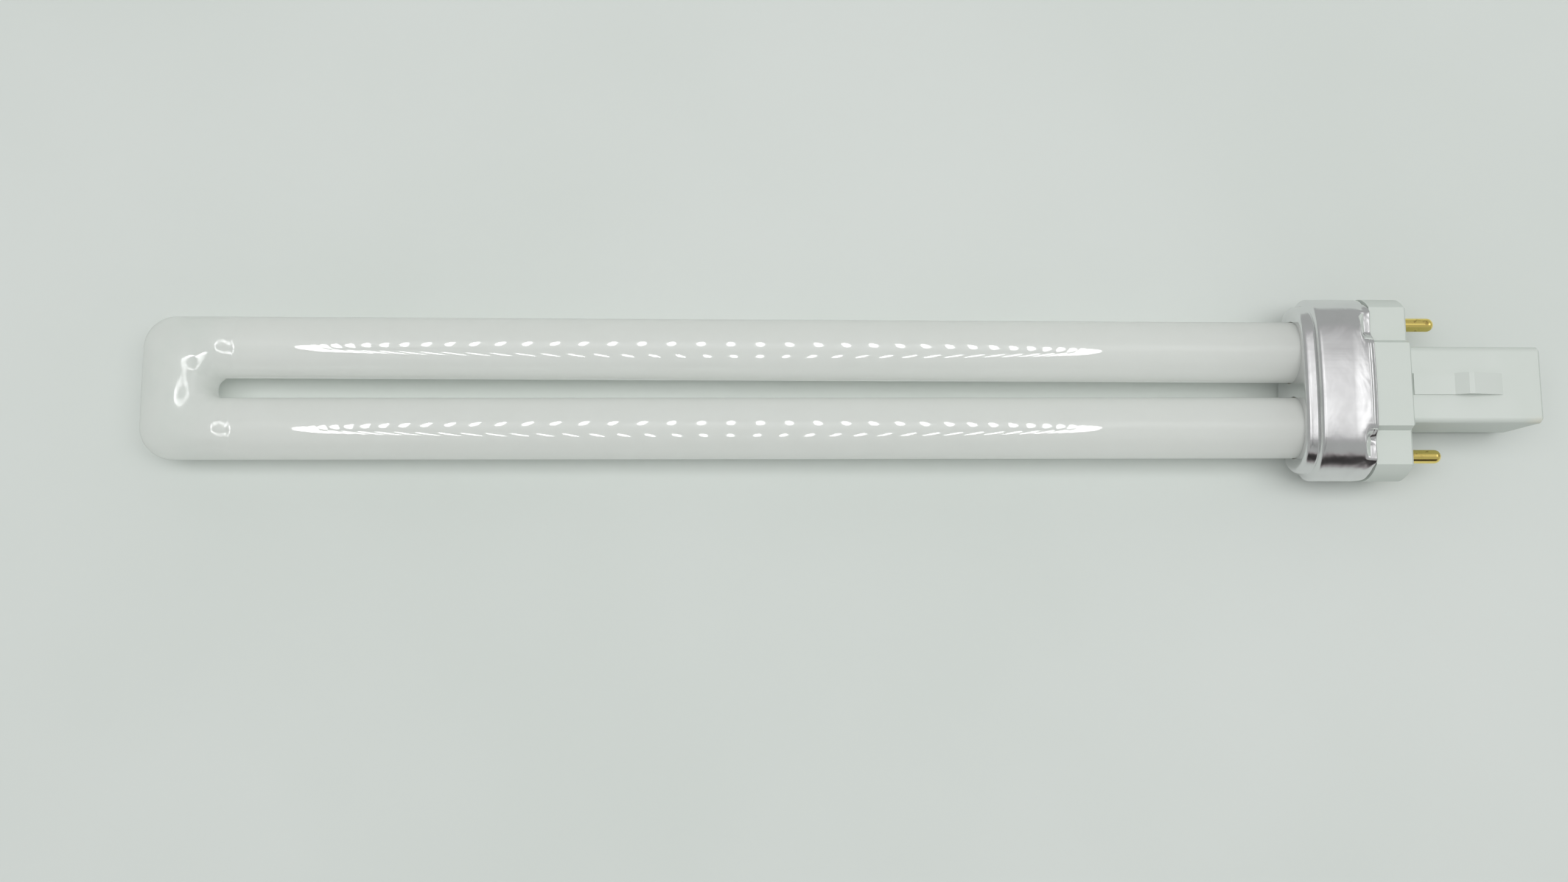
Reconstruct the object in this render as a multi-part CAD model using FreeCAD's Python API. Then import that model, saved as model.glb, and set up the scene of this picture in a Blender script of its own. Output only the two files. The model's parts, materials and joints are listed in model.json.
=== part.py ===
"""U-shaped fluorescent bulb with a two-pin base and a built-in starter.

The lamp is drawn along X: the bend of the glass is at x = 0, the free end of
the base post is at x = overall_length, Y runs across the two legs and z = 0 is
the plane through both legs and both pins. Each piece is moved at the end so
that the origin lies below the middle of the lamp, on the surface it rests on.
All sizes are in millimetres.
"""
import math
import os

import FreeCAD
import Part

os.makedirs("parts", exist_ok=True)

V = FreeCAD.Vector
ALONG = V(1, 0, 0)

# Whole lamp
overall_length = 235.5     # from the bend of the glass to the free end of the post
post_length = 22.1         # beyond the face that stops against the lamp holder
shoulder_length = 6.5      # of the base, between the collar and that face
collar_length = 11.7

# Glass discharge tube
tube_radius = 5.225
leg_gap_at_bend = 3.45
leg_gap_at_base = 2.65
bend_extra = 1.25          # by which the bend is thicker than a leg
corner_extra = 0.125       # by which its outer corners are rounder, seen from above
leg_depth = 7.6            # how far the round legs reach into the collar
pinch_length = 3.8         # flattened seals that the lead-out wires leave from
pinch_width = 7.0
pinch_thickness = 2.4
lead_offset = 2.2          # from the axis of a leg to each of its two wires

# Aluminium collar: a flat-sided oval cap with a stepped nose
nose_margin = 1.375        # round the legs
step_height = 1.3          # from the nose to the full width
oval_stretch = 1.3         # from the axis of a leg out to the centre of the oval's end arc
collar_wall = 0.4
nose_edge = 0.9            # rounding of the nose's front edge
nose_length = 1.8          # from the front face to the groove
nose_rise = 0.15           # by which the nose widens from its front edge to the groove
step_length = 1.5          # rounded rise from the groove to the full width
rear_roll = 1.5
crimp_start = 2.4          # where the pressed edge begins, in front of the collar's rear
crimp_low = 1.0
glass_clearance = 0.15

# Plastic base
block_half_width = 7.05
block_foot_half_width = 7.7
block_height = 7.0         # above the middle plane
shoulder_height = 5.6
housing_depth = 7.3        # how far the base reaches into the collar
housing_wall = 1.25
fit_clearance = 0.05
seating_wall = 1.4
edge_round = 0.5
seat_chamfer = 0.4

# Post that holds the starter
post_width = 13.0
post_thickness = 13.3
post_wall = 1.2
post_round = 0.9

# Raised latch on both broad faces of the post
latch_width = 3.6
latch_flat = 6.95          # level tongue, from the seating face
latch_height = 0.35        # of the tongue above the post's face, level with the block
latch_rise = 1.85          # from the tongue up to the peak that the holder's spring drops behind
latch_peak = 1.6           # height of the peak above the post's face
latch_top = 0.9            # level top of the peak
latch_ramp = 5.4           # from there down towards the post's free end
latch_foot = 0.2           # height at which the ramp ends

# Contact pins
pin_pitch = 23.0
pin_radius = 1.175
pin_length = 7.15          # beyond the seating face
pin_root_radius = 1.5
pin_depth = 2.4            # how far the pin reaches behind the seating face
pin_skin = 0.4             # plastic left in front of the wider root, which it holds
pin_neck_radius = 1.0      # narrower where the pin comes through that plastic
pin_neck_length = 0.2      # of the neck, beyond the seating face

# What the base holds
wire_radius = 0.25
cement_depth = 6.0
starter_length = 13.5
starter_taper = 2.0
starter_set_back = 3.2     # from the seating face
capacitor_height = 8.0
capacitor_length = 10.5
capacitor_set_back = 4.6
capacitor_lead_pitch = 5.0
inner_gap = 0.3

# Sizes that follow from the tube
pitch_at_bend = 2 * tube_radius + leg_gap_at_bend
pitch_at_base = 2 * tube_radius + leg_gap_at_base
bend_thickness = 2 * tube_radius + bend_extra
bend_corner = tube_radius + corner_extra
nose_radius = tube_radius + nose_margin
collar_radius = nose_radius + step_height
oval_half_span = pitch_at_base / 2 + oval_stretch

# Places along the lamp, from the bend of the glass
seating_x = overall_length - post_length
collar_rear_x = seating_x - shoulder_length
collar_front_x = collar_rear_x - collar_length
leg_end_x = collar_front_x + leg_depth
pinch_end_x = leg_end_x + pinch_length
housing_front_x = collar_rear_x - housing_depth
peak_start_x = seating_x + latch_flat + latch_rise
peak_end_x = peak_start_x + latch_top
pin_inner_x = seating_x - pin_depth
starter_x = seating_x + starter_set_back
capacitor_x = seating_x + capacitor_set_back
middle_x = overall_length / 2
lowest_z = -max(collar_radius, post_thickness / 2 + latch_peak)
slot_centre_x = bend_thickness + pitch_at_bend / 2 - tube_radius

# The starter and the capacitor share the width inside the post
room_width = post_width - 2 * post_wall
capacitor_thickness = room_width / 3
starter_radius = (room_width - capacitor_thickness - 3 * inner_gap) / 2


def leg_axis_y(x):
    """Distance of a leg's axis from the lamp's middle line."""
    share = (x - slot_centre_x) / (leg_end_x - slot_centre_x)
    return (pitch_at_bend + (pitch_at_base - pitch_at_bend) * share) / 2


def box(x0, x1, y0, y1, z0, z1):
    return Part.makeBox(x1 - x0, y1 - y0, z1 - z0, V(x0, y0, z0))


def prism_along_y(points, y0, y1):
    """Solid with an (x, z) outline, between two values of y."""
    wire = Part.makePolygon([V(x, y0, z) for x, z in points + points[:1]])
    return Part.Face(wire).extrude(V(0, y1 - y0, 0))


def prism_along_x(points, x0, x1):
    """Solid with a (y, z) outline, between two values of x."""
    wire = Part.makePolygon([V(x0, y, z) for y, z in points + points[:1]])
    return Part.Face(wire).extrude(V(x1 - x0, 0, 0))


def oval(x0, x1, half_span, radius):
    """Flat-sided oval bar along X."""
    ends = [Part.makeCylinder(radius, x1 - x0, V(x0, side * half_span, 0), ALONG) for side in (-1, 1)]
    bar = box(x0, x1, -half_span, half_span, -radius, radius)
    return bar.fuse(ends).removeSplitter()


def straight_edges(points):
    return [Part.LineSegment(a, b).toShape() for a, b in zip(points, points[1:])]


def middle_of_rise(start, end):
    """Middle of the arc in the XZ plane that rises from the start and ends level along X."""
    run = end.x - start.x
    rise = end.z - start.z
    radius = (run ** 2 + rise ** 2) / (2 * rise)
    half_turn = math.atan2(rise, abs(run))
    back = math.copysign(radius * math.sin(half_turn), run)
    return V(end.x - back, 0, end.z - radius * (1 - math.cos(half_turn)))


def arc_to_level(start, end):
    return Part.Arc(start, middle_of_rise(start, end), end).toShape()


def flats_to_level(start, end):
    """The same rise in two flats, which run round the collar's ends as plain cones."""
    return straight_edges([start, middle_of_rise(start, end), end])


def both_faces(shape):
    """The shape and its mirror image on the underside."""
    return [shape, shape.mirror(V(0, 0, 0), V(0, 0, 1))]


def both_sides(shape):
    """The shape and its mirror image across the lamp."""
    return [shape, shape.mirror(V(0, 0, 0), V(0, 1, 0))]


# Glass

def mirrored(point):
    return V(point.x, -point.y, point.z)


def bulb_outline():
    """The bulb seen from above: two legs, a square bend and a slot with a round end."""
    half = pitch_at_bend / 2
    inner = half - tube_radius
    outer = half + tube_radius
    leg_end_y = leg_axis_y(leg_end_x)
    cut_back = bend_corner * (1 - math.sqrt(0.5))
    leg_outer = V(leg_end_x, leg_end_y + tube_radius, 0)
    leg_inner = V(leg_end_x, leg_end_y - tube_radius, 0)
    bend_start = V(slot_centre_x, outer, 0)
    corner_start = V(bend_corner, outer, 0)
    corner_middle = V(cut_back, outer - cut_back, 0)
    corner_end = V(0, outer - bend_corner, 0)
    slot_start = V(slot_centre_x, inner, 0)
    slot_end = V(slot_centre_x - inner, 0, 0)
    half_outline = [leg_inner, leg_outer, bend_start, corner_start]
    edges = [Part.LineSegment(a, b) for a, b in zip(half_outline, half_outline[1:])]
    edges.append(Part.Arc(corner_start, corner_middle, corner_end))
    edges.append(Part.LineSegment(corner_end, mirrored(corner_end)))
    edges.append(Part.Arc(mirrored(corner_end), mirrored(corner_middle), mirrored(corner_start)))
    other_half = [mirrored(point) for point in reversed(half_outline)] + [mirrored(slot_start)]
    edges += [Part.LineSegment(a, b) for a, b in zip(other_half, other_half[1:])]
    edges.append(Part.Arc(mirrored(slot_start), slot_end, slot_start))
    edges.append(Part.LineSegment(slot_start, leg_inner))
    return Part.Wire([edge.toShape() for edge in edges])


def make_discharge_tube():
    """The moulded bulb: its outline made solid, then rounded to a tube all the way round."""
    slab = Part.Face(bulb_outline()).extrude(V(0, 0, 2 * tube_radius))
    slab.translate(V(0, 0, -tube_radius))
    rims = []
    for edge in slab.Edges:
        points = [vertex.Point for vertex in edge.Vertexes]
        level = abs(points[0].z - points[-1].z) < 1e-6
        at_leg_end = all(abs(point.x - leg_end_x) < 1e-6 for point in points)
        if level and not at_leg_end:
            rims.append(edge)
    glass = slab.makeFillet(tube_radius - 0.02, rims)
    seals = []
    for side in (-1, 1):
        y = side * leg_axis_y(leg_end_x)
        seals.append(box(leg_end_x - 1, pinch_end_x, y - pinch_width / 2, y + pinch_width / 2,
                         -pinch_thickness / 2, pinch_thickness / 2))
    return glass.fuse(seals)


# Collar

def oval_of_revolution(profile):
    """Oval cap whose outline, drawn above the X axis, runs round the oval."""
    face = Part.Face(profile)
    ends = []
    for side in (-1, 1):
        half = face.copy()
        half.translate(V(0, side * oval_half_span, 0))
        ends.append(half.revolve(V(0, side * oval_half_span, 0), ALONG, 360))
    middle = face.copy()
    middle.translate(V(0, -oval_half_span, 0))
    middle = middle.extrude(V(0, 2 * oval_half_span, 0))
    bars = both_faces(middle)
    return bars[0].fuse([bars[1]] + ends).removeSplitter()


def collar_profile(inset):
    """Closed outline of the collar from its axis out; its roundings are short flats."""
    front = collar_front_x + inset
    nose = nose_radius - inset
    body = collar_radius - inset
    edge = nose_edge - inset
    face_edge = V(front, 0, nose - edge)
    nose_start = V(front + edge, 0, nose)
    groove = V(collar_front_x + nose_length + inset, 0, nose + nose_rise)
    step_end = V(collar_front_x + nose_length + step_length, 0, body)
    corners = [step_end, V(collar_rear_x, 0, body), V(collar_rear_x, 0, 0), V(front, 0, 0), face_edge]
    edges = straight_edges(corners) + straight_edges([nose_start, groove])
    if inset > 0:
        edges += straight_edges([face_edge, nose_start]) + straight_edges([groove, step_end])
    else:
        edges += flats_to_level(face_edge, nose_start) + flats_to_level(groove, step_end)
    return Part.Wire(Part.__sortEdges__(edges))


def crimp_cutters(inset):
    """What the pressed-in rear edge leaves out, above the shoulders and over the block."""
    far = collar_radius + 2
    rear = collar_rear_x + 1
    low = shoulder_height + collar_wall + fit_clearance - inset
    high = collar_radius - inset
    start = collar_rear_x - crimp_start
    foot = collar_rear_x - crimp_low
    slope = [(start - 0.6, far), (start - 0.6, high + 0.3), (start, high - 0.12),
             (foot, low + 0.35), (foot + 0.6, low), (rear, low), (rear, far)]
    inner_side = block_foot_half_width + 2 * fit_clearance + collar_wall - inset
    over_shoulder = prism_along_y(slope, inner_side, oval_half_span + collar_radius + 2)
    lip = block_height + collar_wall + fit_clearance - inset
    roll_start = V(collar_rear_x - rear_roll, 0, high)
    roll_end = V(collar_rear_x, 0, lip)
    above = [roll_end, V(rear, 0, lip), V(rear, 0, far), V(collar_rear_x - rear_roll, 0, far), roll_start]
    outline = Part.Wire(straight_edges(above) + [arc_to_level(roll_end, roll_start)])
    over_block = Part.Face(outline).extrude(V(0, 2 * inner_side + 0.02, 0))
    over_block.translate(V(0, -inner_side - 0.01, 0))
    cutters = []
    for shape in both_sides(over_shoulder) + [over_block]:
        cutters += both_faces(shape)
    return cutters


def collar_shape(inset):
    return oval_of_revolution(collar_profile(inset)).cut(crimp_cutters(inset))


def leg_bars(clearance, x0, x1):
    """Round bars along the legs, wider than the glass by the clearance."""
    bars = []
    for side in (-1, 1):
        start = V(x0, side * leg_axis_y(x0), 0)
        end = V(x1, side * leg_axis_y(x1), 0)
        bars.append(Part.makeCylinder(tube_radius + clearance, (end - start).Length, start, end - start))
    return bars


def make_end_collar():
    inside = collar_shape(collar_wall)
    open_rear = oval(collar_rear_x - 0.5, collar_rear_x + 1, oval_half_span, collar_radius - collar_wall)
    open_rear = open_rear.cut(crimp_cutters(collar_wall))
    shell = collar_shape(0).cut([inside, open_rear])
    return shell.cut(leg_bars(glass_clearance, collar_front_x - 1, collar_front_x + 2))


# Plastic base

def base_section():
    """Outline of the base behind the collar: raised block between two lower shoulders."""
    wide = oval_half_span + collar_radius + 1
    foot = (block_foot_half_width, shoulder_height)
    upper = [(wide, shoulder_height), foot, (block_half_width, block_height)]
    left = [(-y, z) for y, z in reversed(upper)]
    lower = [(-y, -z) for y, z in upper + left]
    return upper + left + lower


def latch():
    """Raised tongue with a peak and a long ramp, on the post's upper face."""
    face = post_thickness / 2
    foot = face - post_wall / 2
    outline = [(seating_x, foot), (seating_x, face + latch_height),
               (seating_x + latch_flat, face + latch_height), (peak_start_x, face + latch_peak),
               (peak_end_x, face + latch_peak), (peak_end_x + latch_ramp, face + latch_foot),
               (peak_end_x + latch_ramp, foot)]
    return prism_along_y(outline, -latch_width / 2, latch_width / 2)


def post_cavity():
    """Room for the starter."""
    half_width = room_width / 2
    half_height = post_thickness / 2 - post_wall
    return box(seating_x - 2, overall_length - post_wall, -half_width, half_width, -half_height, half_height)


def edges_along(shape):
    """Straight edges that run along the lamp."""
    chosen = []
    for edge in shape.Edges:
        ends = [vertex.Point for vertex in edge.Vertexes]
        if isinstance(edge.Curve, Part.Line) and abs((ends[1] - ends[0]).normalize().dot(ALONG)) > 0.999:
            chosen.append(edge)
    return chosen


def edges_at(shape, x):
    """Edges that lie in one plane across the lamp."""
    return [edge for edge in shape.Edges if all(abs(vertex.X - x) < 1e-6 for vertex in edge.Vertexes)]


def make_post():
    half_width = post_width / 2
    half_thickness = post_thickness / 2
    post = box(seating_x - 1, overall_length, -half_width, half_width, -half_thickness, half_thickness)
    post = post.makeFillet(post_round, edges_along(post))
    post = post.makeChamfer(edge_round, edges_at(post, overall_length))
    return post.fuse(both_faces(latch()))


def make_shoulders():
    rear = oval(collar_rear_x + fit_clearance, seating_x, oval_half_span, collar_radius)
    rear = rear.common(prism_along_x(base_section(), collar_rear_x - 1, seating_x + 1))
    return rear.makeChamfer(seat_chamfer, edges_at(rear, seating_x))


def make_base_housing():
    gap = collar_wall + fit_clearance
    front = collar_shape(gap).common(box(housing_front_x, collar_rear_x + 1, -30, 30, -30, 30))
    link = oval(collar_rear_x - 0.6, collar_rear_x + 1, oval_half_span, collar_radius - gap)
    link = link.common(prism_along_x(base_section(), collar_rear_x - 1, collar_rear_x + 2))
    housing = make_shoulders().fuse([front, link, make_post()])
    cup_radius = collar_radius - gap - housing_wall
    low_radius = shoulder_height - housing_wall
    low_span = oval_half_span + collar_radius - gap - housing_wall - low_radius
    cup_end = collar_rear_x - crimp_start - 0.8
    cup = oval(housing_front_x - 1, cup_end, oval_half_span, cup_radius)
    chamber = oval(cup_end - 0.2, seating_x - seating_wall, low_span, low_radius)
    housing = housing.cut([cup, chamber, post_cavity()])
    holes = []
    for side in (-1, 1):
        y = side * pin_pitch / 2
        inside = seating_x - pin_depth - 1
        hole = Part.makeCylinder(pin_radius + fit_clearance, pin_depth + 2, V(inside, y, 0), ALONG)
        root_depth = pin_depth + 1 - pin_skin
        root = Part.makeCylinder(pin_root_radius + fit_clearance, root_depth, V(inside, y, 0), ALONG)
        holes += [hole, root]
    return housing.cut(holes).removeSplitter()


# Pins and inner pieces

def make_contact_pin(side):
    """Brass pin with a rounded tip, a neck, a wider root and a bore for its wire."""
    tip = seating_x + pin_length
    root_front = seating_x - pin_skin
    root_rear = seating_x - seating_wall
    straight_end = tip - pin_radius
    neck_end = seating_x + pin_neck_length
    corners = [V(tip, 0, 0), V(pin_inner_x, 0, 0), V(pin_inner_x, 0, pin_radius),
               V(root_rear, 0, pin_radius), V(root_rear, 0, pin_root_radius),
               V(root_front, 0, pin_root_radius), V(root_front, 0, pin_neck_radius),
               V(neck_end, 0, pin_neck_radius), V(neck_end, 0, pin_radius), V(straight_end, 0, pin_radius)]
    edges = straight_edges(corners) + [arc_to_level(corners[0], corners[-1])]
    pin = Part.Face(Part.Wire(edges)).revolve(V(0, 0, 0), ALONG, 360)
    pin = pin.cut(Part.makeCylinder(wire_radius + 2 * fit_clearance, 2.5, V(pin_inner_x - 0.5, 0, 0), ALONG))
    pin.translate(V(0, side * pin_pitch / 2, 0))
    return pin


def make_tube_cement():
    """Cement that fills the collar's nose and the mouth of the base, round both legs."""
    radius = collar_radius - collar_wall - 2 * fit_clearance - housing_wall
    plug = oval(collar_front_x + nose_edge, collar_front_x + cement_depth, oval_half_span, radius)
    return plug.cut(leg_bars(2 * fit_clearance, collar_front_x - 1, collar_rear_x)).removeSplitter()


def make_wire(bend_from, bend_to, start, end):
    """Round wire that leaves and arrives along X and runs straight between its two bends."""
    path = Part.makePolygon([start, V(bend_from, start.y, start.z), V(bend_to, end.y, end.z), end])
    section = Part.Wire(Part.makeCircle(wire_radius, start, ALONG))
    return path.makePipeShell([section], True, False, 1)


def starter_axis_y():
    return -(room_width / 2 - inner_gap - starter_radius)


def starter_lead_y(side):
    return starter_axis_y() + side * starter_radius * 0.4


def make_pin_lead(side):
    y = side * (leg_axis_y(leg_end_x) + lead_offset)
    pin_y = side * pin_pitch / 2
    end = V(pin_inner_x + 0.7 * pin_depth, pin_y, 0)
    return make_wire(pinch_end_x + 0.2, pin_inner_x - 0.2, V(pinch_end_x, y, 0), end)


def make_starter_lead(side):
    y = side * (leg_axis_y(leg_end_x) - lead_offset)
    end = V(starter_x, starter_lead_y(side), 0)
    return make_wire(pinch_end_x + 0.3, pinch_end_x + 5.0, V(pinch_end_x, y, 0), end)


def make_starter_bulb():
    """Glow starter: a small sealed glass bottle with a tapered end."""
    taper_x = starter_x + starter_length - starter_taper
    barrel = Part.makeCylinder(starter_radius, starter_length - starter_taper, V(starter_x, 0, 0), ALONG)
    end = Part.makeCone(starter_radius, starter_radius / 2, starter_taper, V(taper_x, 0, 0), ALONG)
    bottle = barrel.fuse(end)
    bottle.translate(V(0, starter_axis_y(), 0))
    return bottle


def make_starter_capacitor():
    """Flat capacitor against the post's wall, with its two wires beside the starter's."""
    wall = room_width / 2
    body = box(capacitor_x, capacitor_x + capacitor_length, wall - capacitor_thickness, wall,
               -capacitor_height / 2, capacitor_height / 2)
    body = body.makeFillet(edge_round, edges_along(body))
    y = wall - capacitor_thickness / 2
    beside = 2 * wire_radius + 0.02
    wires = []
    for side in (-1, 1):
        start = V(capacitor_x + 1, y, side * capacitor_lead_pitch / 2)
        end = V(starter_x - 4.5, starter_lead_y(side), side * beside)
        wires.append(make_wire(capacitor_x - 0.4, starter_x - 3.5, start, end))
    return body.fuse(wires)


def to_rest(shape):
    """Moves a piece to the frame of the finished part."""
    placed = shape.copy()
    placed.translate(V(-middle_x, 0, -lowest_z))
    return placed


pieces = {
    "discharge_tube": make_discharge_tube(),
    "end_collar": make_end_collar(),
    "base_housing": make_base_housing(),
    "contact_pin_left": make_contact_pin(1),
    "contact_pin_right": make_contact_pin(-1),
    "tube_cement": make_tube_cement(),
    "starter_bulb": make_starter_bulb(),
    "starter_capacitor": make_starter_capacitor(),
    "pin_lead_left": make_pin_lead(1),
    "pin_lead_right": make_pin_lead(-1),
    "starter_lead_left": make_starter_lead(1),
    "starter_lead_right": make_starter_lead(-1),
}

for name, shape in pieces.items():
    solid = to_rest(shape)
    if len(solid.Solids) != 1 or not solid.isValid():
        print("check", name, len(solid.Solids), solid.isValid())
    solid = solid.Solids[0]
    solid.exportStep(os.path.join("parts", name + ".step"))
    size = solid.BoundBox
    lengths = [round(length, 2) for length in (size.XLength, size.YLength, size.ZLength)]
    print(name, round(solid.Volume, 1), "mm3", lengths)
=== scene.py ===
"""Looks of the U-shaped fluorescent bulb: finishes, moulded glass, drawn collar, light and camera.

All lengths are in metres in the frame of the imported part. The bulb lies along X
with the bend of its glass at -X and the starter post at +X, Y runs across the
two legs, and the middle plane of the legs is level above z = 0.
"""

import json
import math

import bmesh
import bpy
from mathutils import Matrix, Vector, noise
from mathutils.geometry import tessellate_polygon


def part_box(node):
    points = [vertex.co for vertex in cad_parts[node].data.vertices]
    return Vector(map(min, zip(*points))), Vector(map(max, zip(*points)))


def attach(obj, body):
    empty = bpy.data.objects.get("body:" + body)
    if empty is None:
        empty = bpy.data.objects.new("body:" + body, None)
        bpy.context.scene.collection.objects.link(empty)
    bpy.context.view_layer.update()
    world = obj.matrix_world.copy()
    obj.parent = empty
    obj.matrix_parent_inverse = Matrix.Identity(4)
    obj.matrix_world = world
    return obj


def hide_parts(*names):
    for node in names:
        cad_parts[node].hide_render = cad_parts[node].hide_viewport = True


MM = 0.001

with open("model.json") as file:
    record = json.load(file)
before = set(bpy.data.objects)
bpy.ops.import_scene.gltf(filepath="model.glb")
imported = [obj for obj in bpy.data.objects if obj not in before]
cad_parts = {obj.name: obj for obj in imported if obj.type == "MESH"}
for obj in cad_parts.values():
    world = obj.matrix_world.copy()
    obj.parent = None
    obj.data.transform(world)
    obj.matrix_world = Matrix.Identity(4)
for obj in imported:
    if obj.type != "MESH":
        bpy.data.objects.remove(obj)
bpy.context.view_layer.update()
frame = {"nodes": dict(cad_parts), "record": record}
scene = bpy.context.scene


# Sizes worked out from the frame

glass_low, glass_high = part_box("discharge_tube")
collar_low, collar_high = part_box("end_collar")
base_low, base_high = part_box("base_housing")

tube_radius = (glass_high.z - glass_low.z) / 2
middle_z = (glass_high.z + glass_low.z) / 2
bend_half_width = glass_high.y
bend_x = glass_low.x

# Moulded glass, as in the part's own source
leg_gap_at_bend = 3.45 * MM
leg_gap_at_base = 2.65 * MM
bend_extra = 1.25 * MM
corner_radius = tube_radius + 0.125 * MM
leg_end_x = collar_low.x + 7.6 * MM

slot_centre_x = bend_x + 2 * tube_radius + bend_extra + leg_gap_at_bend / 2
leg_pitch_at_base = 2 * tube_radius + leg_gap_at_base

# Swell that the mould leaves on both broad faces of the bend
corner_sag = 0.28 * MM      # it is this much lower towards the corners
bend_swell = 0.70 * MM
swell_round = 5.3 * MM      # radius of its rounded end on a leg
swell_hollow = 0.12 * MM    # softens the hollow between that end and the leg
swell_reach = 3.6 * MM
bend_flatness = 0.04        # how much squarer than an ellipse the bend's section is
bend_lean = 0.20            # how far its top lies towards the slot, as a share of half its width

# Drawn collar: the nose, the step behind its groove and the body
collar_length = collar_high.x - collar_low.x
collar_height = (collar_high.z - collar_low.z) / 2
collar_half_width = collar_high.y
nose_height = collar_height - 1.3 * MM
nose_edge = 0.9 * MM
nose_length = 1.9 * MM
nose_rise = 0.2 * MM
step_length = 1.2 * MM
body_start = nose_length + step_length
sheet = 0.4 * MM
leg_opening = tube_radius + 0.15 * MM
crown_spread = math.radians(3.5)

# Its rear edge, pressed down on the shoulders of the base and rolled over the block
lip_length = 1.5 * MM
lip_depth = 0.45 * MM
press_start = 2.4 * MM
press_end = 1.0 * MM
pressed_height = 6.05 * MM
block_side = 7.3 * MM
shoulder_side = 9.4 * MM
narrow_end_start = 13.2 * MM
narrow_end_full = 14.6 * MM
turned_length = 1.1 * MM
least_upright = 0.25        # so that steep sheet isn't pushed in far
bead_height = 0.07 * MM
bead_width = 0.12 * MM
bead_from_edge = 0.85 * MM

# Dents beside the block, where the crimping tool pressed
crimp_length = 3.4 * MM
crimp_fade = 2.6 * MM
crimp_side_start = 6.2 * MM
crimp_side_full = 8.6 * MM
fine_dent = 0.22 * MM
broad_dent = 0.20 * MM
handling_dent = 0.035 * MM
fine_dents_per_metre = 620
broad_dents_per_metre = 260

# How the bulb lies: on the peak of its latch and on the swell of the bend
latch_peak_x = base_high.x - 12.95 * MM
floor_gap = 0.02 * MM

# Level of the light that comes from all round
surroundings = 0.42


# Nodes

class Field:
    """A socket whose value varies over a surface or a shape. Operators on it add Math nodes."""

    def __init__(self, nodes, socket):
        self.nodes = nodes
        self.socket = socket

    def combine(self, operation, *values):
        return self.nodes.node("ShaderNodeMath", {"operation": operation}, dict(enumerate(values)))

    def __add__(self, other):
        return self.combine("ADD", self, other)

    def __radd__(self, other):
        return self.combine("ADD", other, self)

    def __sub__(self, other):
        return self.combine("SUBTRACT", self, other)

    def __rsub__(self, other):
        return self.combine("SUBTRACT", other, self)

    def __mul__(self, other):
        return self.combine("MULTIPLY", self, other)

    def __rmul__(self, other):
        return self.combine("MULTIPLY", other, self)

    def __truediv__(self, other):
        return self.combine("DIVIDE", self, other)

    def __rtruediv__(self, other):
        return self.combine("DIVIDE", other, self)

    def __pow__(self, other):
        return self.combine("POWER", self, other)

    def __rpow__(self, other):
        return self.combine("POWER", other, self)

    def __gt__(self, other):
        return self.combine("GREATER_THAN", self, other)

    def __lt__(self, other):
        return self.combine("LESS_THAN", self, other)

    def __abs__(self):
        return self.combine("ABSOLUTE", self)

    def at_least(self, limit):
        return self.combine("MAXIMUM", self, limit)

    def at_most(self, limit):
        return self.combine("MINIMUM", self, limit)

    def root(self):
        """Square root, and 0 of what is below 0."""
        return self.combine("SQRT", self)

    def sine(self):
        return self.combine("SINE", self)

    def cosine(self):
        return self.combine("COSINE", self)

    def ramp(self, low, high):
        """Smoothly from 0 at low to 1 at high, or back if low is above high."""
        settings = {"interpolation_type": "SMOOTHSTEP"}
        if low < high:
            values = {"Value": self, "From Min": low, "From Max": high}
        else:
            values = {"Value": self, "From Min": high, "From Max": low, "To Min": 1.0, "To Max": 0.0}
        return self.nodes.node("ShaderNodeMapRange", settings, values)


class Nodes:
    """The nodes of one tree, all made by one method."""

    def __init__(self, tree):
        self.tree = tree

    def node(self, kind, settings=None, values=None, output=0):
        """Adds a node: first its settings, then the values or links of its inputs."""
        made = self.tree.nodes.new(kind)
        for name, value in (settings or {}).items():
            setattr(made, name, value)
        for name, value in (values or {}).items():
            if isinstance(value, Field):
                self.tree.links.new(value.socket, made.inputs[name])
            else:
                made.inputs[name].default_value = value
        return Field(self, made.outputs[output]) if made.outputs else None


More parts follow.
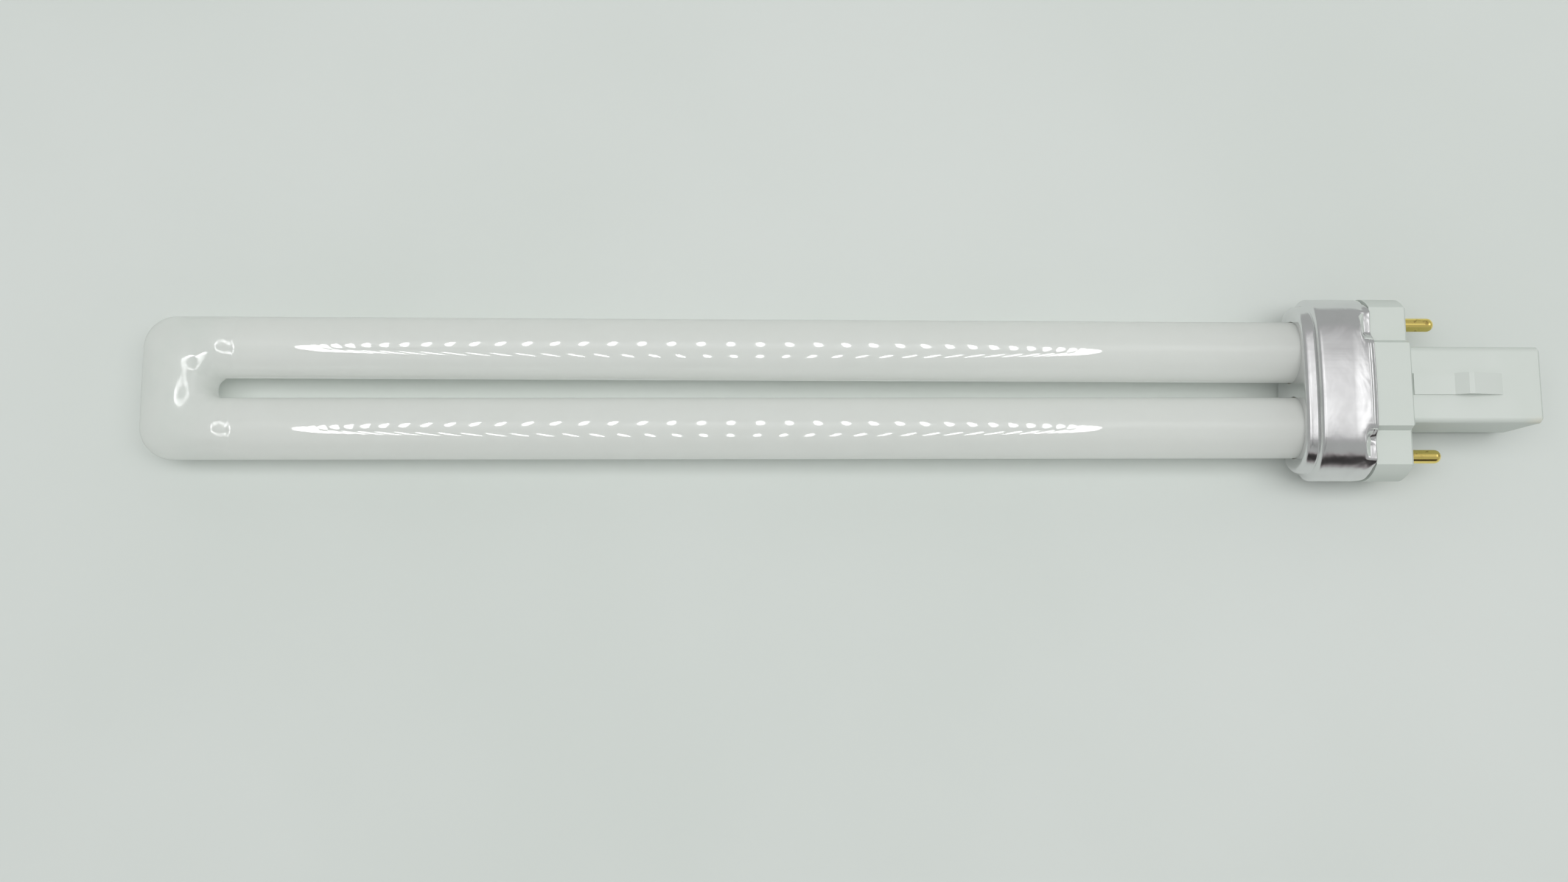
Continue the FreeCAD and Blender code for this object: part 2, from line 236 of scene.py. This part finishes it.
class Surface(Nodes):
    """One material and its node tree."""

    def __init__(self, name):
        self.material = bpy.data.materials.new(name)
        self.material.use_nodes = True
        super().__init__(self.material.node_tree)
        self.tree.nodes.clear()

    def place(self):
        return self.node("ShaderNodeTexCoord", output="Object")

    def along(self, axis):
        return self.node("ShaderNodeSeparateXYZ", values={0: self.place()}, output=axis)

    def noise(self, scale, detail=3.0, distortion=0.0):
        """Noise on object coordinates; scale is one number or one for each axis."""
        if isinstance(scale, (int, float)):
            scale = (scale, scale, scale)
        place = self.node("ShaderNodeMapping", values={"Vector": self.place(), "Scale": scale})
        values = {"Vector": place, "Scale": 1.0, "Detail": detail, "Distortion": distortion}
        return self.node("ShaderNodeTexNoise", values=values)

    def blend(self, share, first, second):
        """Colour between two colours."""
        values = {0: share, 6: first, 7: second}
        return self.node("ShaderNodeMix", {"data_type": "RGBA"}, values, output=2)

    def bump(self, height, distance):
        values = {"Height": height, "Distance": distance, "Strength": 1.0}
        return self.node("ShaderNodeBump", values=values)

    def principled(self, **values):
        """Principled shader with these sockets, the words of their names joined by underscores."""
        named = {}
        for name, value in values.items():
            named[name.replace("_", " ").title().replace("Ior", "IOR")] = value
        return self.node("ShaderNodeBsdfPrincipled", values=named)

    def emission(self, tone, strength):
        return self.node("ShaderNodeEmission", values={"Color": tone, "Strength": strength})

    def mixed(self, share, first, second):
        """Shader between two shaders."""
        return self.node("ShaderNodeMixShader", values={0: share, 1: first, 2: second})

    def finish(self, shader):
        self.node("ShaderNodeOutputMaterial", values={"Surface": shader})
        return self.material

    def painted(self, **values):
        """Finishes the material with a Principled shader."""
        return self.finish(self.principled(**values))


class Form(Nodes):
    """One Geometry Nodes tree with named inputs."""

    def __init__(self, name, sizes, counts):
        super().__init__(bpy.data.node_groups.new(name, "GeometryNodeTree"))
        sockets = self.tree.interface
        sockets.new_socket("Geometry", in_out="OUTPUT", socket_type="NodeSocketGeometry")
        for label in sizes:
            sockets.new_socket(label, in_out="INPUT", socket_type="NodeSocketFloat")
        for label in counts:
            sockets.new_socket(label, in_out="INPUT", socket_type="NodeSocketInt")
        sockets.new_socket("Material", in_out="INPUT", socket_type="NodeSocketMaterial")

    def __getitem__(self, label):
        """The named input as a field."""
        return self.node("NodeGroupInput", output=label)

    def position(self, axis):
        """One coordinate of each point as it is so far."""
        place = self.node("GeometryNodeInputPosition")
        return self.node("ShaderNodeSeparateXYZ", values={0: place}, output=axis)

    def point(self, x, y, z):
        return self.node("ShaderNodeCombineXYZ", values={"X": x, "Y": y, "Z": z})

    def finish(self, geometry):
        real = self.node("GeometryNodeRealizeInstances", values={"Geometry": geometry})
        values = {"Geometry": real, "Material": self["Material"]}
        painted = self.node("GeometryNodeSetMaterial", values=values)
        self.node("NodeGroupOutput", values={"Geometry": painted})
        return self.tree


def colour(red, green, blue):
    return (red, green, blue, 1.0)


# Materials

def white_glass():
    """Clear glossy glass over a white inner coating that is uneven and thinner in the bend."""
    look = Surface("white_glass")
    x = look.along("X")
    mottle = look.noise(140, detail=4)
    streaks = look.noise((6, 260, 260), detail=2)
    unevenness = (mottle * 0.6 + streaks * 0.4).ramp(0.3, 0.7)
    coating = look.blend(unevenness, colour(0.91, 0.925, 0.895), colour(0.93, 0.945, 0.92))
    in_bend = x.ramp(bend_x + 17 * MM, bend_x + 9 * MM)
    thin = in_bend * (look.noise(190, detail=3).ramp(0.35, 0.75) * 0.5 + 0.3)
    tint = look.blend(thin, coating, colour(0.83, 0.88, 0.84))
    moulding = look.noise(95, detail=2, distortion=0.4)
    normal = look.bump(moulding * in_bend * 0.5, 0.12 * MM)
    dust = look.noise(700, detail=2).ramp(0.55, 0.75)
    glossy = look.principled(
        base_color=tint, roughness=dust * 0.01 + 0.015, ior=1.5, specular_ior_level=1.0, normal=normal)
    milky = look.node("ShaderNodeBsdfTranslucent", values={"Color": colour(0.97, 0.98, 0.97)})
    milkiness = 0.55
    return look.finish(look.mixed(milkiness, glossy, milky))


def collar_metal():
    """Thin polished aluminium with handling dents and drawing lines."""
    look = Surface("collar_metal")
    x = look.along("X")
    y = look.along("Y")
    drawn = look.noise((60, 900, 900), detail=3)
    dents = look.noise((150, 110, 110), detail=3, distortion=0.6)
    ends = abs(y).ramp(6 * MM, 13 * MM)
    crimped = x.ramp(collar_high.x - 4 * MM, collar_high.x - 1 * MM)
    height = dents * (ends * 0.7 + crimped * 0.8 + 0.12) + drawn * 0.02
    normal = look.bump(height, 0.35 * MM)
    haze = look.noise(260, detail=4).ramp(0.35, 0.8)
    tone = look.blend(haze, colour(0.80, 0.80, 0.805), colour(0.74, 0.74, 0.745))
    roughness = haze * 0.08 + drawn * 0.05 + 0.15
    return look.painted(base_color=tone, metallic=1.0, roughness=roughness, normal=normal)


def base_plastic():
    """Semi-gloss white moulding with a fine grain and one yellowed corner of the post."""
    look = Surface("base_plastic")
    cloud = look.noise(60, detail=3).ramp(0.35, 0.65)
    plain = look.blend(cloud, colour(0.575, 0.62, 0.58), colour(0.60, 0.64, 0.605))
    at_end = look.along("X").ramp(base_high.x - 4 * MM, base_high.x - 0.5 * MM)
    at_side = look.along("Y").ramp(-5 * MM, -6.6 * MM)
    at_top = look.along("Z").ramp(middle_z + 4 * MM, middle_z + 6.5 * MM)
    corner = at_end * at_side * at_top
    tone = look.blend(corner * 0.5, plain, colour(0.66, 0.62, 0.50))
    grain = look.noise(2600, detail=2)
    sink = look.noise(70, detail=1)
    normal = look.bump(grain * 0.012 + sink * 0.12, 0.1 * MM)
    return look.painted(base_color=tone, roughness=grain * 0.1 + 0.3, ior=1.46, normal=normal)


def pin_brass():
    """Drawn brass with a few dark spots of tarnish."""
    look = Surface("pin_brass")
    lines = look.noise((90, 2600, 2600), detail=2)
    spots = look.noise(900, detail=3).ramp(0.60, 0.70)
    tone = look.blend(spots * 0.6, colour(1.0, 0.80, 0.25), colour(0.25, 0.15, 0.05))
    normal = look.bump(lines, 0.01 * MM)
    roughness = spots * 0.3 + lines * 0.08 + 0.11
    return look.painted(base_color=tone, metallic=1.0, roughness=roughness, normal=normal)


def cement():
    """Gritty, matt cement."""
    look = Surface("cement")
    grit = look.noise(1500, detail=4)
    tone = look.blend(grit.ramp(0.3, 0.7), colour(0.60, 0.56, 0.48), colour(0.72, 0.69, 0.62))
    normal = look.bump(grit, 0.15 * MM)
    return look.painted(base_color=tone, roughness=0.9, normal=normal)


def starter_glass():
    """Clear glass of the glow starter, a little hazy."""
    look = Surface("starter_glass")
    haze = look.noise(400, detail=2)
    tone = look.blend(haze.ramp(0.4, 0.7), colour(0.75, 0.82, 0.82), colour(0.62, 0.68, 0.68))
    roughness = haze * 0.1 + 0.04
    return look.painted(base_color=tone, roughness=roughness, ior=1.5, transmission_weight=0.6)


def capacitor_coating():
    """Dipped orange-brown lacquer with soft runs."""
    look = Surface("capacitor_coating")
    runs = look.noise(500, detail=3)
    tone = look.blend(runs.ramp(0.35, 0.65), colour(0.50, 0.20, 0.05), colour(0.62, 0.30, 0.09))
    normal = look.bump(runs, 0.08 * MM)
    return look.painted(base_color=tone, roughness=runs * 0.15 + 0.3, normal=normal)


def lead_wire():
    """Drawn nickel-iron wire."""
    look = Surface("lead_wire")
    lines = look.noise((200, 5000, 5000), detail=2)
    tone = look.blend(lines.ramp(0.4, 0.6), colour(0.52, 0.50, 0.47), colour(0.66, 0.64, 0.61))
    return look.painted(base_color=tone, metallic=1.0, roughness=lines * 0.15 + 0.25)


def floor_paint():
    """Pale matt surface, slightly cloudy."""
    look = Surface("pale_floor")
    cloud = look.noise(9, detail=4).ramp(0.3, 0.7)
    tone = look.blend(cloud, colour(0.615, 0.655, 0.625), colour(0.65, 0.685, 0.66))
    return look.painted(base_color=tone, roughness=0.6)


def glow(name, strength, tone=colour(1, 1, 1), fade_x=None, fade_y=None):
    """Light of a lamp or card. It sinks to the level of the surroundings between the two distances
    of each fade, from the middle outwards."""
    look = Surface(name)
    light = look.emission(tone, strength)
    if fade_x is not None:
        inside_x = abs(look.along("X")).ramp(fade_x[1], fade_x[0])
        inside_y = abs(look.along("Y")).ramp(fade_y[1], fade_y[0])
        light = look.mixed(inside_x * inside_y, look.emission(tone, surroundings), light)
    return look.finish(light)


# Shapes

def smooth(value, low, high):
    """Smoothly from 0 at low to 1 at high."""
    share = min(1.0, max(0.0, (value - low) / (high - low)))
    return share * share * (3 - 2 * share)


def placed(name, data):
    """Puts a mesh into the scene, with its quads shaded smooth and all other faces flat."""
    for face in data.polygons:
        face.use_smooth = len(face.vertices) == 4
    made = bpy.data.objects.new(name, data)
    scene.collection.objects.link(made)
    return made


def finished(name, mesh):
    """Turns a bmesh into an object."""
    data = bpy.data.meshes.new(name)
    mesh.to_mesh(data)
    mesh.free()
    return placed(name, data)


def grown(name, tree, **inputs):
    """Runs a Geometry Nodes tree with these inputs and keeps the result as a plain mesh."""
    carrier = bpy.data.objects.new(name + "_carrier", bpy.data.meshes.new(name))
    scene.collection.objects.link(carrier)
    modifier = carrier.modifiers.new(name, "NODES")
    modifier.node_group = tree
    sockets = {item.name: item.identifier for item in tree.interface.items_tree if item.in_out == "INPUT"}
    for label, value in inputs.items():
        modifier[sockets[label.replace("_", " ").title()]] = value
    bpy.context.view_layer.update()
    evaluated = carrier.evaluated_get(bpy.context.evaluated_depsgraph_get())
    data = bpy.data.meshes.new_from_object(evaluated)
    bpy.data.objects.remove(carrier)
    return placed(name, data)


# Moulded glass

def outer_distance(form, angle):
    """From the centre of the slot to the outside of the bend: to its end, a side or a round corner."""
    end = form["End Distance"]
    side = form["Side Distance"]
    radius = form["Corner Radius"]
    tiny = 1e-9     # keeps the two divisions finite
    cosine = angle.cosine().at_least(tiny)
    sine = abs(angle.sine()).at_least(tiny)
    to_end = end / cosine
    to_side = side / sine
    centre_x = end - radius
    centre_y = side - radius
    along = cosine * centre_x + sine * centre_y
    to_corner = along + (along ** 2 - centre_x ** 2 - centre_y ** 2 + radius ** 2).root()
    in_corner = (to_end * sine > centre_y) * (to_side * cosine > centre_x)
    return in_corner * to_corner + (1 - in_corner) * to_end.at_most(to_side)


def crown_height(form, turn, distance):
    """Height of the glass over its middle plane. The swell of the bend is a little lower towards
    its corners, and rounds off along a leg like a ball that ends in a short hollow."""
    ball = form["Swell Round"]
    drop = ball - (ball ** 2 - distance ** 2).root()
    left = form["Swell"] - drop
    swell = (left + (left ** 2 + form["Swell Hollow"] ** 2).root()) / 2
    sag = form["Corner Sag"] * (turn * math.pi).sine() ** 2
    return form["Tube Radius"] + swell - sag


def moulded_tube_tree():
    """Geometry Nodes: a straight tube, as long as it has sections, moulded into the U.

    A section's number rises from the end of one leg, through 0 in the middle of the bend,
    to the end of the other leg. Its turn goes from -1 to 1 round the bend, and its distance
    is the way along a leg from the centre of the slot.
    """
    sizes = (
        "Tube Radius", "Middle Z", "Slot X", "End Distance", "Side Distance", "Corner Radius", "Leg Length",
        "Gap At Bend", "Gap At Base", "Swell", "Swell Round", "Swell Hollow", "Swell Reach", "Corner Sag",
        "Flatness", "Lean", "Leg Crowding")
    counts = ("Half Bend Sections", "Swell Sections", "Leg Sections", "Points Round")
    form = Form("moulded_tube", sizes, counts)
    half_bend = form["Half Bend Sections"]
    swell_sections = form["Swell Sections"]
    leg_sections = form["Leg Sections"]
    length = (half_bend + swell_sections + leg_sections) * 2
    values = {"Vertices": form["Points Round"], "Side Segments": length, "Radius": 1.0, "Depth": length}
    tube = form.node("GeometryNodeMeshCylinder", {"fill_type": "NGON"}, values)
    across, up, section = [form.position(axis) for axis in "XYZ"]

    turn = section.at_least(half_bend * -1).at_most(half_bend) / half_bend
    angle = turn * (math.pi / 2)
    past_bend = (abs(section) - half_bend).at_least(0)
    past_swell = (past_bend - swell_sections).at_least(0) / leg_sections
    reach = form["Swell Reach"]
    leg_length = form["Leg Length"]
    distance = reach * past_bend.at_most(swell_sections) / swell_sections
    distance += (leg_length - reach) * past_swell ** form["Leg Crowding"]

    narrower = (form["Gap At Base"] - form["Gap At Bend"]) * distance / leg_length / 2
    inner = form["Gap At Bend"] / 2 + narrower
    outer = outer_distance(form, angle) + narrower
    moulded = (1 - abs(turn)).ramp(0, 0.5)
    squareness = form["Flatness"] * moulded * (across * up * 2) ** 2 + 1
    lean = form["Lean"] * moulded * up ** 2
    from_slot = (inner + outer) / 2 + (outer - inner) / 2 * (squareness * across - lean)
    x = form["Slot X"] + distance - angle.cosine() * from_slot
    y = angle.sine() * from_slot
    z = form["Middle Z"] + crown_height(form, turn, distance) * squareness * up
    values = {"Geometry": tube, "Position": form.point(x, y, z)}
    return form.finish(form.node("GeometryNodeSetPosition", values=values))


def moulded_glass(finish):
    """The whole tube as one smooth skin, closed at the hidden ends of the legs."""
    return grown(
        "moulded_glass", moulded_tube_tree(), material=finish,
        tube_radius=tube_radius, middle_z=middle_z, corner_radius=corner_radius,
        slot_x=slot_centre_x, end_distance=slot_centre_x - bend_x, side_distance=bend_half_width,
        leg_length=leg_end_x - slot_centre_x, gap_at_bend=leg_gap_at_bend, gap_at_base=leg_gap_at_base,
        swell=bend_swell, swell_round=swell_round, swell_hollow=swell_hollow, swell_reach=swell_reach,
        corner_sag=corner_sag, flatness=bend_flatness, lean=bend_lean,
        half_bend_sections=72, swell_sections=24, leg_sections=40, leg_crowding=1.6, points_round=64)


# Drawn collar

def crowned_section():
    """Quarter of the collar's section: (turn of the normal, y, z), from the middle of the broad face."""
    steps = 56
    strides = 40
    crowding = 1.8
    mean_slope = 0.8 * crown_spread
    end_radius = (collar_height - mean_slope * collar_half_width) / (1 - mean_slope)
    flat = collar_half_width - end_radius
    turn, y, drop = 0.0, 0.0, 0.0
    points = [(turn, y, collar_height - drop)]
    for step in range(1, steps + 1):
        goal = math.pi / 2 * (step / steps) ** crowding
        stride = (goal - turn) / strides
        for _ in range(strides):
            middle = turn + stride / 2
            bell = 2 / math.sqrt(2 * math.pi) / crown_spread * math.exp(-0.5 * (middle / crown_spread) ** 2)
            radius = end_radius + flat * bell
            y += radius * math.cos(middle) * stride
            drop += radius * math.sin(middle) * stride
            turn += stride
        turn = goal
        points.append((turn, y, collar_height - drop))
    return points


def whole_section():
    """The section all the way round, as places with their outward directions."""
    quarter = crowned_section()
    upper = [(-turn, -y, z) for turn, y, z in reversed(quarter[1:])] + quarter
    ring = [(Vector((y, z)), Vector((math.sin(turn), math.cos(turn)))) for turn, y, z in upper]
    lower = [(Vector((place.x, -place.y)), Vector((out.x, -out.y))) for place, out in reversed(ring[1:-1])]
    return ring + lower


def quarter_rise(share):
    """Rise of a quarter circle from 0 to 1, steep at its start."""
    return math.sqrt(max(0.0, 1 - (1 - share) ** 2))


def profile_height(run):
    """Height of the collar's surface over its middle line, this far behind the front face."""
    if run < nose_edge:
        return nose_height - nose_edge * (1 - quarter_rise(run / nose_edge))
    if run < nose_length:
        return nose_height + nose_rise * (run - nose_edge) / (nose_length - nose_edge)
    if run < body_start:
        start = nose_height + nose_rise
        steepness = 5
        return start + (collar_height - start) * (1 - (1 - (run - nose_length) / step_length) ** steepness)
    return collar_height


def pressed_in(place, out, left):
    """How far the sheet is pushed in near its rear edge; left is the distance to that edge."""
    y = abs(place.x)
    over_shoulder = smooth(y, block_side, shoulder_side)
    roll = smooth(lip_length - left, 0, lip_length) ** 2 * lip_depth
    upright = max(least_upright, abs(out.y))
    depth = max(0.0, (abs(place.y) - pressed_height) / upright)
    press = smooth(press_start - left, 0, press_start - press_end) * depth
    at_end = smooth(y, narrow_end_start, narrow_end_full)
    turned = (1 - quarter_rise(min(1.0, left / turned_length))) * lip_depth
    bead = bead_height * math.exp(-((left - bead_from_edge) / bead_width) ** 2) * (1 - over_shoulder)
    return max(roll * (1 - over_shoulder) + press * over_shoulder, turned * at_end) + bead


def creases(place, run, left):
    """Small dents left by the crimping tool and by handling."""
    point = Vector((run, place.x, place.y))
    near_edge = smooth(crimp_length - left, 0, crimp_fade)
    beside_block = smooth(abs(place.x), crimp_side_start, crimp_side_full)
    fine_shift = Vector((3.1, 0.0, 7.7))
    broad_shift = Vector((0.0, 5.3, 1.9))
    fine = max(0.0, noise.noise(point * fine_dents_per_metre + fine_shift))
    broad = max(0.0, noise.noise(point * broad_dents_per_metre + broad_shift))
    return near_edge * beside_block * (fine_dent * fine + broad_dent * broad) + handling_dent * broad


def collar_runs():
    """Places along the collar, closer together where its profile turns."""
    crimp_start = collar_length - crimp_length
    edge_steps, nose_steps, rise_steps, body_steps, crimp_steps = 9, 4, 12, 10, 30
    crowding = 1.6
    edge = [nose_edge * (1 - math.cos(math.pi / 2 * step / edge_steps)) for step in range(edge_steps + 1)]
    nose = [nose_edge + (nose_length - nose_edge) * step / nose_steps for step in range(1, nose_steps + 1)]
    rise = [nose_length + step_length * (step / rise_steps) ** crowding for step in range(1, rise_steps + 1)]
    body = [body_start + (crimp_start - body_start) * step / body_steps for step in range(1, body_steps + 1)]
    rear = [crimp_start + crimp_length * step / crimp_steps for step in range(1, crimp_steps + 1)]
    return edge + nose + rise + body + rear


def sheet_ring(mesh, section, run, inset):
    """One ring of the sheet's skin round the collar."""
    left = collar_length - run
    ring = []
    for place, out in section:
        drop = collar_height - profile_height(run) + inset
        drop += pressed_in(place, out, left) + creases(place, run, left)
        point = place - out * drop
        x = collar_low.x + max(run, inset)
        ring.append(mesh.verts.new((x, point.x, middle_z + point.y)))
    return ring


def joined(mesh, first, second):
    """Quads between two rings."""
    for corners in zip(first, first[1:] + first[:1], second[1:] + second[:1], second):
        mesh.faces.new(corners)


def opening_ring(mesh, side, x):
    """Edge of the round opening for one leg."""
    steps = 72
    ring = []
    for step in range(steps):
        turn = 2 * math.pi * step / steps
        y = side * leg_pitch_at_base / 2 + leg_opening * math.cos(turn)
        ring.append(mesh.verts.new((x, y, middle_z + leg_opening * math.sin(turn))))
    return ring


def front_face(mesh, rim, x):
    """Flat front of the nose with its two round openings. Returns the rings of the openings."""
    holes = [opening_ring(mesh, side, x) for side in (-1, 1)]
    loops = [rim] + holes
    corners = [corner for loop in loops for corner in loop]
    outlines = [[Vector((corner.co.y, corner.co.z, 0)) for corner in loop] for loop in loops]
    for triangle in tessellate_polygon(outlines):
        mesh.faces.new([corners[index] for index in triangle])
    return holes


def drawn_collar(finish):
    """Closed sheet shell: outer skin, rear edge, inner skin, and the front with its openings."""
    mesh = bmesh.new()
    section = whole_section()
    outer = [sheet_ring(mesh, section, run, 0) for run in collar_runs()]
    inner_runs = [run for run in collar_runs() if run > sheet][::3] + [collar_length]
    inner = [sheet_ring(mesh, section, run, sheet) for run in inner_runs]
    for first, second in zip(outer, outer[1:]):
        joined(mesh, first, second)
    for first, second in zip(inner, inner[1:]):
        joined(mesh, first, second)
    joined(mesh, outer[-1], inner[-1])
    inner_face = sheet_ring(mesh, section, nose_edge / 2, sheet)
    joined(mesh, inner_face, inner[0])
    outside = front_face(mesh, outer[0], collar_low.x)
    inside = front_face(mesh, inner_face, collar_low.x + nose_edge / 2)
    for first, second in zip(outside, inside):
        joined(mesh, first, second)
    bmesh.ops.recalc_face_normals(mesh, faces=mesh.faces)
    made = finished("drawn_collar", mesh)
    made.data.materials.append(finish)
    return made


# Floor, lights and camera

def panel(name, size, place, material, aim=None):
    """Flat rectangle that faces down, or towards a point."""
    mesh = bmesh.new()
    corners = ((-0.5, -0.5), (0.5, -0.5), (0.5, 0.5), (-0.5, 0.5))
    mesh.faces.new([mesh.verts.new((x * size[0], y * size[1], 0)) for x, y in corners])
    made = finished(name, mesh)
    made.location = place
    if aim is not None:
        made.rotation_euler = (Vector(aim) - Vector(place)).to_track_quat("-Z", "Y").to_euler()
    made.data.materials.append(material)
    return made


def resting_floor():
    """The bulb lies on the latch of its base and on the bend, so the floor rises a little to the bend."""
    rise = glass_low.z - bend_swell - base_low.z
    run = latch_peak_x - (bend_x + tube_radius)
    place = (latch_peak_x, 0, base_low.z - floor_gap)
    floor = panel("floor", size=(6.0, 6.0), place=place, material=floor_paint())
    floor.rotation_euler = (0, math.atan2(rise, run), 0)


def lamp_lens_tree():
    """Geometry Nodes: flat lenses of unit size, scaled and set round a circle."""
    form = Form("ring_of_lenses", ("Ring Radius", "Lens Length", "Lens Width"), ("Lenses", "Points Round"))
    values = {"Vertices": form["Lenses"], "Radius": form["Ring Radius"]}
    circle = form.node("GeometryNodeMeshCircle", values=values)
    values = {"Vertices": form["Points Round"], "Radius": 0.5}
    lens = form.node("GeometryNodeMeshCircle", {"fill_type": "NGON"}, values)
    scale = form.point(form["Lens Width"], form["Lens Length"], 1.0)
    values = {"Points": circle, "Instance": lens, "Scale": scale}
    return form.finish(form.node("GeometryNodeInstanceOnPoints", values=values))


def ring_light(seen_in):
    """A ring of small lamps above, which show as two rows of dots on the glass and nowhere else."""
    ring = grown(
        "ring_light", lamp_lens_tree(), material=glow("ring_lamps", strength=20.0),
        lenses=84, points_round=20, ring_radius=178 * MM, lens_length=118 * MM, lens_width=4 * MM)
    ring.location = (-35.75 * MM, -92 * MM, middle_z + 400 * MM)
    ring.visible_camera = False
    ring.visible_shadow = False
    ring.visible_diffuse = False
    receivers = bpy.data.collections.new("seen_in_the_glass")
    receivers.objects.link(seen_in)
    ring.light_linking.receiver_collection = receivers


def soft_lamps():
    """Large soft lamps that light the scene and show in nothing."""
    middle = (0.0, 0.0, 0.0)
    key = panel(
        "key_light", size=(1.4, 0.44), place=(0.03, 0.04, 0.9),
        material=glow("key_glow", strength=3.3))
    left = panel(
        "left_light", size=(1.9, 0.7), place=(0.0, 0.9, 0.5), aim=middle,
        material=glow("left_glow", strength=0.7))
    right = panel(
        "right_light", size=(1.9, 0.7), place=(0.0, -0.9, 0.5), aim=middle,
        material=glow("right_glow", strength=0.6))
    for lamp in (key, left, right):
        lamp.visible_camera = False
        lamp.visible_glossy = False


def reflected_cards():
    """Soft-edged cards that light nothing and only show in the glossy surfaces."""
    overhead = panel(
        "overhead_tent", size=(1.25, 0.66), place=(0.03, 0.085, 0.85),
        material=glow("tent_glow", strength=1.55, fade_x=(0.22, 0.60), fade_y=(0.04, 0.27)))
    far = panel(
        "far_card", size=(0.9, 0.5), place=(0.66, 0.12, 0.58), aim=(0.08, 0, 0),
        material=glow("far_glow", strength=1.3, fade_x=(0.08, 0.34), fade_y=(0.12, 0.24)))
    rosy = colour(1, 0.92, 0.92)
    dark = panel(
        "dark_card", size=(1.6, 0.62), place=(0.1, -0.815, 0.33), aim=(0.05, 0, 0),
        material=glow("dark_glow", strength=0.03, tone=rosy, fade_x=(0.6, 0.8), fade_y=(0.14, 0.31)))
    for card in (overhead, far, dark):
        card.visible_camera = False
        card.visible_shadow = False
        card.visible_diffuse = False


def pale_world():
    """Even, slightly green-white light from all round."""
    world = bpy.data.worlds.new("studio")
    scene.world = world
    world.use_nodes = True
    background = world.node_tree.nodes["Background"]
    background.inputs["Color"].default_value = colour(0.97, 1.0, 0.98)
    background.inputs["Strength"].default_value = surroundings


def fitted_camera():
    """Camera found from the photograph: place, direction and focal length."""
    data = bpy.data.cameras.new("camera")
    data.lens = 32.82
    data.sensor_width = 36.0
    data.clip_start = 0.01
    data.clip_end = 20.0
    made = bpy.data.objects.new("camera", data)
    scene.collection.objects.link(made)
    place = Vector((-16.88, -39.70, 240.59)) * MM + Vector((0, 0, middle_z))
    turns = ((7.296, "X"), (-1.635, "Y"), (0.060, "Z"))
    matrix = Matrix.Translation(place)
    for degrees, axis in turns:
        matrix = matrix @ Matrix.Rotation(math.radians(degrees), 4, axis)
    made.matrix_world = matrix
    scene.camera = made


# The bulb

finishes = {
    "white_glass": white_glass(),
    "collar_metal": collar_metal(),
    "base_plastic": base_plastic(),
    "pin_brass": pin_brass(),
    "cement": cement(),
    "starter_glass": starter_glass(),
    "capacitor_coating": capacitor_coating(),
    "lead_wire": lead_wire(),
}
for part in frame["record"]["subparts"]:
    node = frame["nodes"][part["node"]]
    node.data.materials.clear()
    node.data.materials.append(finishes[part["material_slot"]])

glass = moulded_glass(finishes["white_glass"])
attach(glass, "root")
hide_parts("discharge_tube")

collar = drawn_collar(finishes["collar_metal"])
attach(collar, "root")
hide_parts("end_collar")

resting_floor()
soft_lamps()
reflected_cards()
pale_world()
ring_light(seen_in=glass)
fitted_camera()

scene.view_settings.view_transform = "Standard"
